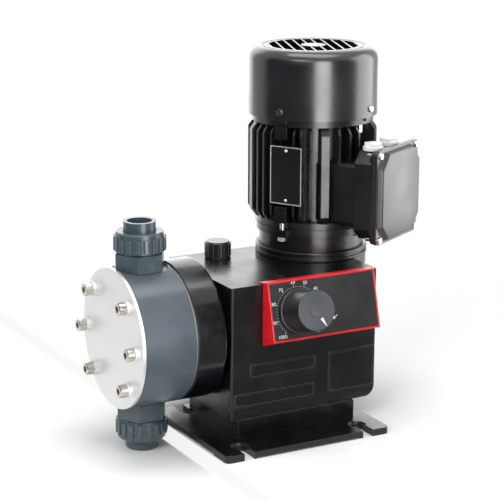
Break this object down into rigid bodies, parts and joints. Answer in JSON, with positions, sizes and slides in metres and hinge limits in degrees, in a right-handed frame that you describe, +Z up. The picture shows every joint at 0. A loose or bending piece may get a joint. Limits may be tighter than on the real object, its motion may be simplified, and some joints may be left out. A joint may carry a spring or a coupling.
{
  "type": "diaphragm metering pump",
  "caption": "Diaphragm metering pump with a round dosing head, ribbed union nuts, stroke knob on a sloped red panel, worm gear housing and upright finned motor.",
  "frame": {"origin": "centre of the base plate's slot pattern, on the plane that its pads stand on", "axes": "+X from the dosing head to the motor, +Y from the stroke knob to the rear cover, +Z up"},
  "size_m": [0.3494, 0.2252, 0.3911],
  "materials": {
    "cast_black": "black paint over fine cast grain",
    "gloss_black": "glossy black paint",
    "motor_black": "satin black paint",
    "cowl_black": "smooth black cowl",
    "head_grey": "blue-grey PVC, turned",
    "valve_grey": "grey-green PVC, moulded",
    "stainless": "turned stainless steel",
    "zinc": "bright zinc plate",
    "steel": "ground steel",
    "bronze": "machined bronze",
    "red_frame": "red moulded frame",
    "face_black": "satin black face",
    "knob_black": "moulded black knob",
    "cap_black": "moulded black cap",
    "plug_white": "white moulded plugs",
    "rubber": "black rubber",
    "diaphragm_white": "PTFE faced diaphragm",
    "laminations": "stacked laminations and varnish",
    "ball_glass": "ceramic ball",
    "badge_black": "blank black plate with a bright edge"
  },
  "bodies": {
    "frame": {"base_plate": "cast_black", "gear_housing": "cast_black", "pump_flange": "gloss_black", "dosing_head": "head_grey", "head_plate": "stainless", "head_screws": "zinc", "head_washers": "stainless", "flange_screws": "zinc", "tappet_bush": "bronze", "diaphragm": "diaphragm_white", "return_spring": "steel", "discharge_valve_body": "valve_grey", "discharge_nut": "valve_grey", "discharge_socket": "valve_grey", "suction_valve_body": "valve_grey", "suction_nut": "valve_grey", "suction_socket": "valve_grey", "valve_seats": "diaphragm_white", "valve_cages": "diaphragm_white", "union_seals": "rubber", "control_panel": "red_frame", "panel_face": "face_black", "spindle_bush": "bronze", "shaft_bearings": "steel", "motor_bearings": "steel", "motor_ring": "gloss_black", "drive_end_shield": "motor_black", "stator_housing": "motor_black", "stator_pack": "laminations", "rear_end_shield": "motor_black", "tie_bolts": "zinc", "fan_cowl": "cowl_black", "cowl_screws": "zinc", "badge": "badge_black", "terminal_box": "gloss_black", "terminal_gasket": "rubber", "terminal_lid": "gloss_black", "lid_screws": "zinc", "blanking_plugs": "plug_white", "terminal_block": "plug_white", "cap_seal": "rubber", "drain_plug": "zinc", "rear_cover": "cast_black", "rear_cover_screws": "zinc", "rear_gasket": "rubber"},
    "motor_rotor": {"motor_shaft": "steel", "worm": "steel", "rotor_pack": "laminations", "fan": "cap_black"},
    "wheel_shaft": {"eccentric_shaft": "steel", "eccentric_bearing": "steel", "worm_wheel": "bronze"},
    "tappet_group": {"tappet": "steel", "diaphragm_core": "steel"},
    "stroke_control": {"stroke_knob": "knob_black", "knob_cap": "knob_black", "adjusting_spindle": "steel"},
    "suction_ball": {"suction_ball": "ball_glass"},
    "discharge_ball": {"discharge_ball": "ball_glass"},
    "oil_cap": {"oil_cap": "cap_black"}
  },
  "joints": [
    {"name": "stroke_knob_turn", "type": "hinge", "parent": "frame", "child": "stroke_control", "pos_m": [0.0014, -0.05483, 0.13574], "axis": [0, -0.9659, 0.2588], "range_deg": [0, 250]},
    {"name": "motor_spin", "type": "hinge", "parent": "frame", "child": "motor_rotor", "pos_m": [0.0855, 0.0673, 0.25], "axis": [0, 0, 1], "continuous": true},
    {"name": "wheel_spin", "type": "hinge", "parent": "frame", "child": "wheel_shaft", "pos_m": [0.0445, 0.0366, 0.106], "axis": [0, 1, 0], "continuous": true},
    {"name": "tappet_slide", "type": "slide", "parent": "frame", "child": "tappet_group", "axis": [-1, 0, 0], "range_m": [0, 0.006], "stiffness_N_per_m": 8000, "springref_m": -0.002, "deforming": ["return_spring", "diaphragm"]},
    {"name": "suction_ball_lift", "type": "slide", "parent": "frame", "child": "suction_ball", "axis": [0, 0, 1], "range_m": [0, 0.0035]},
    {"name": "discharge_ball_lift", "type": "slide", "parent": "frame", "child": "discharge_ball", "axis": [0, 0, 1], "range_m": [0, 0.0035]},
    {"name": "oil_cap_turn", "type": "hinge", "parent": "frame", "child": "oil_cap", "pos_m": [-0.0165, 0.0865, 0.1615], "axis": [0, 0, 1], "continuous": true}
  ],
  "couplings": [
    {"joint": "wheel_spin", "follows": "motor_spin", "ratio": 0.033333}
  ]
}
